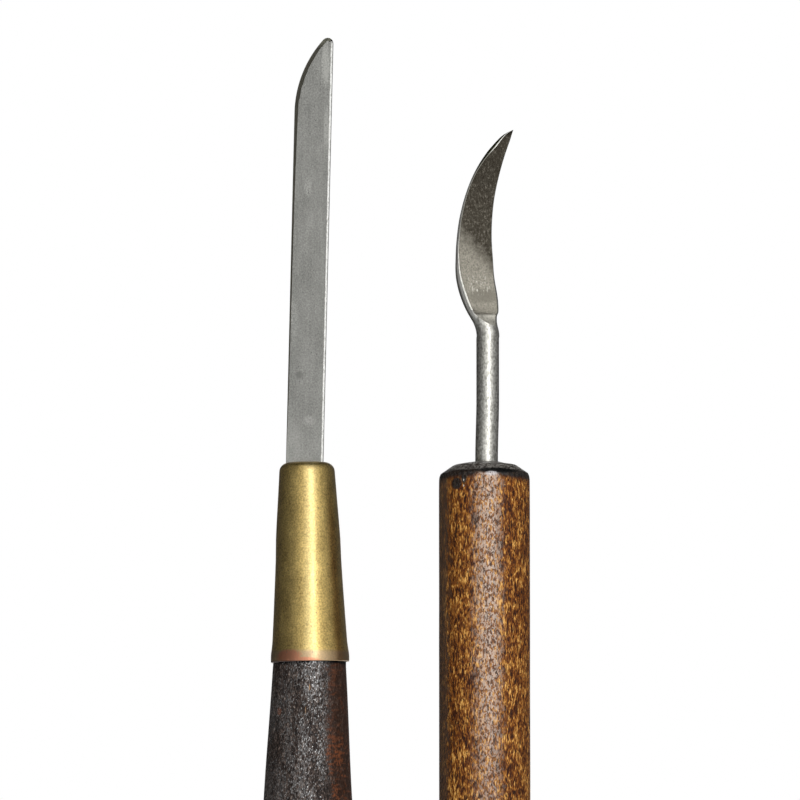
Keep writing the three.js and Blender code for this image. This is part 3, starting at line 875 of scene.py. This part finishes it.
def brown_stain():
    """Waxed brown stain: amber mottling, dark pores and a scorched black crown, with painted light: a
    sheen down the front, a shaded crease and a glint on the shoulder.
    """
    wood = Finish("brown_stained_wood", CROWN_ORIGIN)
    patches = wood.cloud((1.3, 1.3, 3.4), shift=4)
    mottle = wood.cloud((0.46, 0.46, 1.2), roughness=0.5, shift=1)
    fibre = wood.cloud((0.2, 0.2, 0.75), roughness=0.5, shift=9, distortion=0.9)
    tone = 0.51 + (patches - 0.5) * 0.65 + (mottle - 0.5) * 0.85 + (fibre - 0.5) * 1.85
    for x, z, width, height in BROWN_SHADOWS:
        tone = tone - wood.spot(x, z, width, height, soft=0.9) * 0.1
    colour = tone.ramp(
        (0.20, rgb(0.020, 0.0045, 0.0008)),
        (0.34, rgb(0.050, 0.012, 0.0015)),
        (0.50, rgb(0.122, 0.036, 0.0045)),
        (0.62, rgb(0.20, 0.070, 0.009)),
        (0.74, rgb(0.30, 0.128, 0.022)),
        (0.88, rgb(0.54, 0.29, 0.075)),
    )
    pores = wood.cloud((0.18, 0.18, 0.8), detail=1, shift=17).rise(0.42, 0.33)
    colour = wood.mix(pores * 0.9, colour, rgb(0.012, 0.004, 0.0015))
    wax = wood.cloud((0.27, 0.27, 0.5), roughness=0.5, shift=29, distortion=0.8)
    wax = wax.rise(0.45, 0.57)
    across = wood.x + (mottle - 0.5) * 2
    # the rubbed strip down the front: it carries the wax coat's gloss, and its colour is a painted
    # sheen, pale and pinkish, fading lower down
    rubbing_and_sheen = across.rise(-2.4, -0.2) * across.rise(3.0, 1.2) * wood.y.rise(0, -3)
    rubbing_and_sheen = rubbing_and_sheen * (0.55 + wood.z.rise(-50, -28) * 0.45)
    colour = wood.mix(rubbing_and_sheen * (0.1 + wax * 0.45), colour, rgb(0.42, 0.31, 0.23))
    dim = across.rise(-4.6, -5.6)
    colour = wood.mix(dim * 0.7, colour, rgb(0.054, 0.037, 0.026))
    # the scorched crown, whose lower edge dips and runs
    edge = wood.z + (mottle - 0.5) * 1.1 + (fibre - 0.5) * 1.2
    edge = edge + wood.x * wood.x * 0.01 - wood.spot(0.4, -2, 1.7, 6, soft=0.6) * 0.5
    black = edge.rise(-2.75, -1.95)
    run = wood.spot(-2.9, -2.3, 0.42, 1.15, soft=0.5)
    blotch = wood.spot(-3.9, -3.35, 0.62, 0.7, soft=0.9)
    blotch = (blotch + (fibre - 0.5) * 1.5).rise(0, 0.6) * blotch.rise(0, 0.3)
    black = black | run | blotch * (0.6 + fibre * 0.7)
    colour = wood.mix(black * 0.97, colour, rgb(0.006, 0.005, 0.0045))
    scuffs = wood.cloud((0.5, 0.5, 0.16), detail=3, roughness=0.6, shift=47, distortion=1)
    scuffs = scuffs.rise(0.46, 0.58) * wood.z.rise(-1.55, -1.2)
    colour = wood.mix(scuffs * 0.75, colour, rgb(0.19, 0.18, 0.165))
    # painted shade: a black band in the crease under the crown's chamfer, where the coat is also left
    # out
    painted_crease_shade = wood.spot(1.6, -1.55, 2.7, 0.40, soft=0.6)
    colour = wood.mix(painted_crease_shade, colour, rgb(0.001, 0.001, 0.001))
    # painted highlight: a lilac-grey glint on the shoulder, where the coat is also at full weight
    glossy = wood.spot(0.9, -2.02, 0.85, 0.3, soft=0.9) * fibre.rise(0.3, 0.6)
    colour = wood.mix(glossy * 0.9, colour, rgb(0.42, 0.40, 0.405))
    specks = wood.spot(-2.95, -2.9, 0.07, 0.15) | wood.spot(-2.95, -3.7, 0.07, 0.15)
    colour = wood.mix(specks * 0.6, colour, rgb(0.6, 0.58, 0.52))
    grain = wood.cloud((0.26, 0.26, 0.4), roughness=0.5, shift=41)
    coat = (rubbing_and_sheen * 0.9 + 0.02 | black * 0.5) * wax * (1 - painted_crease_shade) | glossy
    return wood.done(
        Base_Color=colour,
        Roughness=0.45 + (mottle - 0.5) * 0.2,
        Normal=wood.bump(mottle * 0.4 + fibre * 0.4 + grain - pores * 0.3, 0.08),
        Specular_IOR_Level=0.25,
        Coat_Weight=coat,
        Coat_Roughness=0.4,
        Coat_IOR=1.95,
    )


def black_stain():
    """Nearly black stain on coarse wood, with raised fibres and a redder quarter at the right."""
    wood = Finish("dark_stained_wood", KNIFE_ORIGIN)
    slanted = wood.node("Mapping", inputs={"Vector": wood.point, "Rotation": (0, math.radians(-6), 0)})
    straight = wood.point
    wood.point = slanted
    fibre = wood.cloud((0.17, 0.17, 0.34), roughness=0.5, shift=3)
    coarse = wood.cloud((0.34, 0.34, 1.0), detail=3, roughness=0.65, shift=6)
    glints = wood.cloud((0.2, 0.2, 0.4), roughness=0.6, shift=15, distortion=0.7)
    beads = wood.cells((0.2, 0.2, 0.4), shift=21).rise(0.42, 0.22)
    wood.point = straight
    patches = wood.cloud((2.2, 2.2, 6), detail=3, shift=12)
    glints = glints + (patches - 0.5) * 0.7
    sparkle = glints.rise(0.46, 0.56) * (0.2 + beads * 0.8) * wood.x.rise(4.2, 1.2)
    sparkle = sparkle * (0.35 + wood.y.rise(2, -2) * 0.65)
    tone = coarse * 0.5 + fibre * 0.5
    colour = tone.ramp(
        (0.36, rgb(0.004, 0.0028, 0.0023)),
        (0.50, rgb(0.018, 0.0125, 0.0103)),
        (0.59, rgb(0.056, 0.041, 0.034)),
        (0.68, rgb(0.20, 0.16, 0.135)),
    )
    ladder = wood.cloud((1.1, 1.1, 0.42), roughness=0.5, shift=31)
    ragged = wood.x + (patches - 0.5) * 3.5 + (coarse - 0.5) * 2 + (ladder - 0.5) * 3
    right = ragged.rise(2.4, 4.3) * wood.y.rise(3, -1)
    rust = (ladder + (patches - 0.5) * 0.8 + (fibre - 0.5) * 0.6).rise(0.50, 0.80)
    colour = wood.mix(right * 0.6, colour, rgb(0.026, 0.011, 0.006))
    rust = rust * (0.45 + wood.z.rise(-8, -13) * 0.65)
    red = right * rust * (0.1 + fibre * 1.2) | wood.spot(-3.9, -6.9, 0.3, 0.5) * 0.5
    colour = wood.mix(red, colour, rgb(0.13, 0.042, 0.017))
    splinters = wood.spot(0.30, -3.6, 0.07, 0.45) | wood.spot(-0.25, -6.8, 0.07, 0.5) * 0.5
    colour = wood.mix(splinters * 0.6, colour, rgb(0.42, 0.25, 0.13))
    # painted shadow: a black line on the wood just under the ferrule's rim
    colour = wood.mix(wood.z.rise(-0.45, -0.1), colour, rgb(0.002, 0.002, 0.002))
    return wood.done(
        Base_Color=colour,
        Roughness=0.4,
        Normal=wood.bump(coarse * 0.5 + fibre * 0.5 + beads * 0.2, 0.15),
        Specular_IOR_Level=0.15,
        Coat_Weight=sparkle * (1 - right * 0.7),
        Coat_Roughness=0.46,
        Coat_IOR=6,
    )


def drawn_brass():
    """Brass sheet, slightly tarnished, pitted and coppery at its rim, with a painted highlight down its
    front and a painted shadow along its rim's lower edge.
    """
    brass = Finish("ferrule_brass", KNIFE_ORIGIN)
    haze = brass.cloud((1.6, 1.6, 3.4), detail=4, roughness=0.6)
    grain = brass.cloud((0.22, 0.22, 0.24), roughness=0.5, shift=5)
    tone = 0.5 + (haze - 0.5) * 0.6 + (grain - 0.5) * 0.9
    colour = tone.ramp((0.25, rgb(0.345, 0.228, 0.062)), (0.75, rgb(0.89, 0.66, 0.225)))
    # painted highlight: a paler stripe down the front, where the lamp's highlight falls
    pale = brass.x.rise(-1.0, 0.2) * brass.x.rise(1.6, 0.6) * brass.y.rise(0, -2)
    colour = brass.mix(pale * grain * 0.7, colour, rgb(0.82, 0.68, 0.34))
    pits = brass.cells((0.75, 0.75, 0.75), shift=8).rise(0.17, 0.08)
    pits = pits * haze.rise(0.45, 0.6)
    colour = brass.mix(pits * 0.8, colour, rgb(0.12, 0.085, 0.045))
    copper = brass.spot(-2.6, 0.65, 1.7, 1.0, soft=0.9) | brass.spot(-0.9, 0.2, 2.6, 0.35, soft=0.9)
    copper = (copper + (haze - 0.5) * 1.2 + (grain - 0.5) * 1.4).rise(0.2, 0.9) * copper.rise(0, 0.35)
    pink = brass.z.rise(1.8, 1.2) * (0.35 + haze * 0.6)
    colour = brass.mix(pink, colour, rgb(0.52, 0.36, 0.24))
    colour = brass.mix(copper * 0.85, colour, rgb(0.66, 0.25, 0.14))
    # painted shadow: dark along the rim's lower edge
    colour = brass.mix(brass.z.rise(0.14, 0.02), colour, rgb(0.09, 0.05, 0.035))
    drift = brass.cloud((3, 3, 3.6), shift=14)
    rough = 0.355 + (haze - 0.5) * 0.14 + (drift - 0.5) * 0.2 + pits * 0.2
    return brass.done(
        Base_Color=colour,
        Metallic=1 - pits * 0.5,
        Roughness=rough,
        Normal=brass.bump(grain + haze * 0.3 - pits * 0.5, 0.025),
        Coat_Weight=0.6,
        Coat_Roughness=0.36,
    )


# Marks on the strip: x, z, half width, half height, and how much lighter or darker
STRIP_MARKS = (
    (2.9, 55.8, 0.5, 2.6, 0.5),
    (3.0, 47, 0.35, 2.5, 0.3),
    (0.39, 38.5, 0.5, 1.2, 0.25),
    (-0.73, 12.2, 0.5, 0.5, -0.25),
    (0.6, 5.9, 0.75, 0.7, 0.28),
    (-1.6, 20, 0.6, 3, 0.12),
)


def strip_finishes():
    """The knife's steel: its satin flat, its dark ground edge, its bright chamfer and its land."""
    satin = Finish("satin_strip_steel", STRIP_ORIGIN)
    speckle = satin.cloud((0.2, 0.2, 0.24), roughness=0.6, shift=2)
    streaks = satin.cloud((0.3, 0.3, 9), detail=3, shift=7)
    haze = satin.cloud((1.8, 1.8, 4), detail=3, shift=11)
    light = 0.5 + (speckle - 0.5) * 0.7 + (streaks - 0.5) * 0.15 + (haze - 0.5) * 0.3
    for x, z, width, height, share in STRIP_MARKS:
        light = light + satin.spot(x, z, width, height, soft=0.9) * (speckle * 2 - 0.4) * share
    light = light - satin.x.rise(0.2, -2.2) * satin.z.rise(48, 60) * 0.2
    light = light + satin.z.rise(7, 2) * (0.08 + satin.x.rise(0, -2) * 0.12)
    colour = light.ramp((0.25, rgb(0.105, 0.105, 0.098)), (0.75, rgb(0.29, 0.29, 0.271)))
    rough = 0.32 + (speckle - 0.5) * 0.2
    flat = satin.metal(colour, rough, speckle * 0.7 + streaks * 0.4, 0.006)

    edge = Finish("ground_edge_steel", STRIP_ORIGIN)
    grit = edge.cloud((0.1, 0.1, 0.9), detail=3, shift=3)
    colour = grit.ramp((0.3, rgb(0.20, 0.19, 0.15)), (0.7, rgb(0.40, 0.385, 0.31)))
    tip = edge.z.rise(57.8, 59.2)
    colour = edge.mix(tip, colour, rgb(0.34, 0.34, 0.27))
    ground = edge.metal(colour, 0.34 + tip * 0.3, grit, 0.006)

    side = Finish("chamfered_spine_steel", STRIP_ORIGIN)
    rub = side.cloud((0.15, 0.15, 0.5), detail=3, roughness=0.6, shift=13)
    colour = rub.ramp((0.32, rgb(0.55, 0.55, 0.51)), (0.55, rgb(0.98, 0.98, 0.95)))
    chamfer = side.metal(colour, 0.24, rub, 0.006)

    wall = Finish("strip_side_steel", STRIP_ORIGIN)
    rolled = wall.cloud((0.15, 0.3, 0.8), detail=3, shift=19)
    colour = rolled.ramp((0.3, rgb(0.34, 0.34, 0.31)), (0.7, rgb(0.5, 0.5, 0.47)))
    land = wall.metal(colour, 0.4, rolled, 0.006)
    return flat, ground, chamfer, land


def hook_finishes():
    """The hook's steel: the bright drawn rod, and the ground face, darker over its upper part."""
    rod = Finish("bright_rod_steel", HOOK_ORIGIN)
    drawn = rod.cloud((0.14, 0.14, 3.2), detail=3, shift=2)
    worn = rod.cloud((0.26, 0.26, 0.4), roughness=0.55, shift=5)
    light = 0.5 + (drawn - 0.5) * 0.4 + (worn - 0.5) * 1.4
    colour = light.ramp((0.25, rgb(0.36, 0.355, 0.315)), (0.75, rgb(0.84, 0.83, 0.775)))
    # painted highlight: the left flank, from the neck up the blade's back, at full brightness
    side = rod.x.rise(-1.3, -1.8) * rod.z.rise(-1, 2)
    colour = rod.mix(side, colour, rgb(1.0, 0.99, 0.93))
    # the blade's forged back is dark along its outer edge, and all of it towards the point
    rim = rod.node("Attribute", {"attribute_name": RIM_SHARE}, output=2)
    outer = rim.rise(0.45, 0.05) * rod.y.rise(0.3, -0.1) * rod.z.rise(0.5, 2)
    colour = rod.mix(outer, colour, rgb(0.24, 0.24, 0.20))
    colour = rod.mix(rod.z.rise(20, 25), colour, rgb(0.03, 0.03, 0.012))
    bright = rod.metal(colour, 0.35 + (worn - 0.5) * 0.2, drawn * 0.4 + worn, 0.026)

    face = Finish("ground_hook_steel", HOOK_ORIGIN)
    speckle = face.cloud((0.22, 0.22, 0.26), detail=4, roughness=0.75, shift=4)
    blots = face.cloud((0.9, 0.9, 0.8), detail=5, roughness=0.65, shift=9)
    colour = speckle.ramp((0.3, rgb(0.055, 0.052, 0.042)), (0.7, rgb(0.215, 0.20, 0.168)))
    scratches = face.cloud((0.3, 0.3, 0.5), detail=3, roughness=0.6, shift=23, distortion=0.8)
    dark = (scratches * 0.6 + speckle * 0.4).ramp(
        (0.35, rgb(0.017, 0.014, 0.0105)),
        (0.52, rgb(0.034, 0.030, 0.023)),
        (0.66, rgb(0.11, 0.10, 0.082)),
    )
    dark = face.mix(face.z.rise(17, 25) * 0.45, dark, rgb(0.012, 0.010, 0.0075))
    # the ground face turns darker over its upper part, above an uneven slanting line
    edge = face.z + face.x * 1.2 + (blots - 0.5) * 5 + (speckle - 0.5) * 4
    colour = face.mix(edge.rise(7.6, 11.8), colour, dark)
    smudge = face.spot(-0.5, 5.0, 2.4, 1.0, soft=0.9) * (0.1 + speckle * 1.4)
    smudge = smudge | face.z.rise(3.9, 3.2) * (0.1 + speckle * 0.5)
    colour = face.mix(smudge * 0.75, colour, rgb(0.070, 0.065, 0.053))
    rubs = face.cloud((0.25, 0.25, 0.9), shift=37).rise(0.58, 0.66)
    rubs = rubs * face.spot(-1.3, 6.6, 1.6, 1.3, soft=0.9)
    colour = face.mix(rubs * 0.55, colour, rgb(0.50, 0.49, 0.44))
    run_out = face.z.rise(2.5, 2.1)
    pale = (speckle * 0.6 + blots * 0.4).ramp(
        (0.35, rgb(0.32, 0.305, 0.26)),
        (0.65, rgb(0.80, 0.775, 0.69)),
    )
    colour = face.mix(run_out, colour, pale)
    ground = face.metal(colour, 0.32 + (speckle - 0.5) * 0.2 + run_out * 0.25, speckle, 0.007)

    strip = Finish("polished_hook_steel", HOOK_ORIGIN)
    wear = strip.cloud((0.2, 0.2, 0.5), detail=3, roughness=0.6, shift=3)
    colour = wear.ramp((0.35, rgb(0.70, 0.69, 0.62)), (0.6, rgb(0.97, 0.96, 0.90)))
    dull = strip.z.rise(9, 16) * (0.6 + wear * 0.5) * strip.z.rise(26.4, 24.5)
    colour = strip.mix(dull, colour, rgb(0.17, 0.16, 0.125))
    polished = strip.done(Base_Color=colour, Metallic=1.0, Roughness=0.26)
    return bright, ground, polished


# The studio. Angles are compass-like round the tools: 0 is towards the camera, + to its right.
CAMERA_BACK = 840 * MM
CAMERA_HEIGHT = 69.1 * MM
CAMERA_PITCH = math.radians(4.525)
CAMERA_X = 0.512 * MM
CAMERA_LENS = 272.05
SENSOR = 36
STAGE_CENTRE = Vector((0, 0, 0.12))
WORLD_LIGHT = 0.10
FALL_START = -600  # where the side cards begin to darken, along Y in millimetres
FALL_LENGTH = 800


def around(angle, elevation, distance):
    turn = math.radians(angle)
    rise = math.radians(elevation)
    flat = math.cos(rise)
    way = Vector((math.sin(turn) * flat, -math.cos(turn) * flat, math.sin(rise)))
    return STAGE_CENTRE + way * distance


def softbox(name, angle, elevation, distance, size, power, shines=True):
    lamp = bpy.data.lights.new(name, "AREA")
    lamp.shape = "RECTANGLE"
    lamp.size, lamp.size_y = size
    lamp.energy = power
    made = bpy.data.objects.new(name, lamp)
    made.location = around(angle, elevation, distance)
    made.rotation_euler = (STAGE_CENTRE - made.location).to_track_quat("-Z", "Y").to_euler()
    made.visible_glossy = shines
    bpy.context.scene.collection.objects.link(made)


def card(name, low, high, material):
    """A flat card between two corners, which differ along two axes only."""
    first, second = (axis for axis in range(3) if low[axis] != high[axis])
    corners = [Vector(low) for _ in range(4)]
    corners[1][first] = corners[2][first] = high[first]
    corners[2][second] = corners[3][second] = high[second]
    bm = bmesh.new()
    bm.faces.new([bm.verts.new(corner) for corner in corners])
    mesh = bpy.data.meshes.new(name)
    bm.to_mesh(mesh)
    bm.free()
    mesh.materials.append(material)
    made = bpy.data.objects.new(name, mesh)
    bpy.context.scene.collection.objects.link(made)
    return made


def camera():
    lens = bpy.data.cameras.new("camera")
    lens.lens = CAMERA_LENS
    lens.sensor_width = SENSOR
    made = bpy.data.objects.new("camera", lens)
    made.location = (CAMERA_X, -CAMERA_BACK, CAMERA_HEIGHT)
    made.rotation_euler = (math.pi / 2 + CAMERA_PITCH, 0, 0)
    bpy.context.scene.collection.objects.link(made)
    bpy.context.scene.camera = made


def world():
    """A white room for the camera and for what shines, and a dim one for diffuse light."""
    made = bpy.data.worlds.new("white_room")
    room = NodeTree(made)
    seen, glossy, clear = (
        room.node("LightPath", output=f"Is {ray} Ray") for ray in ("Camera", "Glossy", "Transmission")
    )
    inputs = {"Value": seen | glossy | clear, "To Min": WORLD_LIGHT, "To Max": 1}
    strength = room.node("MapRange", inputs=inputs)
    shade = room.node("Background", inputs={"Color": rgb(1, 1, 1), "Strength": strength})
    room.node("OutputWorld", inputs={"Surface": shade})
    bpy.context.scene.world = made


def plain(name, colour, roughness):
    made = Finish(name, Vector((0, 0, 0)))
    return made.done(Base_Color=colour, Roughness=roughness, Specular_IOR_Level=0.0)


def graded_card(name, falls):
    """A card that only metal and gloss see, white where it starts and falling to dark behind."""
    made = Finish(name, Vector((0, 0, 0)))
    places = [(place - FALL_START) / FALL_LENGTH for place in (-600, -310, -200, -140, -70, 0, 100)]
    stops = [(place, rgb(fall, fall, fall)) for place, fall in zip(places, falls)]
    shade = ((made.y - FALL_START) / FALL_LENGTH).ramp(*stops)
    return made.done(
        Base_Color=rgb(0, 0, 0),
        Specular_IOR_Level=0,
        Emission_Color=shade,
        Emission_Strength=1,
    )


def studio():
    camera()
    world()
    pale = plain("pale_floor", rgb(0.82, 0.82, 0.81), 0.9)
    card("floor", (-4, -4, 0), (4, 4, 0), pale)
    flags = []
    for name, x, start, falls in (
        ("left_card", -0.15, -0.6, (1, 0.78, 0.5, 0.33, 0.19, 0.11, 0.06)),
        ("right_card", 0.15, -0.2, (1, 1, 0.95, 0.78, 0.42, 0.22, 0.1)),
    ):
        flags.append(card(name, (x, start, 0), (x, 0.65, 0.4), graded_card(name, falls)))
    black = plain("black_card", rgb(0.01, 0.01, 0.01), 1)
    flags.append(card("top_card", (-0.4, -0.1, 0.4), (0.4, 0.65, 0.4), black))
    for flag in flags:
        flag.visible_camera = False
        flag.visible_diffuse = False
        flag.visible_shadow = False
        flag.visible_transmission = False
    softbox("key", 16, 42, 1.15, (0.45, 0.35), 16, shines=False)
    softbox("strip", 15, 8, 1.3, (0.25, 0.8), 3.1)
    softbox("back_left", -155, 25, 1.2, (0.6, 0.6), 5.5, shines=False)
    softbox("back_right", 155, 25, 1.2, (0.6, 0.6), 5.5, shines=False)


studio()
bpy.context.scene.view_settings.view_transform = "Standard"
knife_handle(black_stain())
knife_ferrule(drawn_brass())
knife_blade(*strip_finishes())
hook_handle(brown_stain())
hook_blade(*hook_finishes())

bpy.context.view_layer.update()
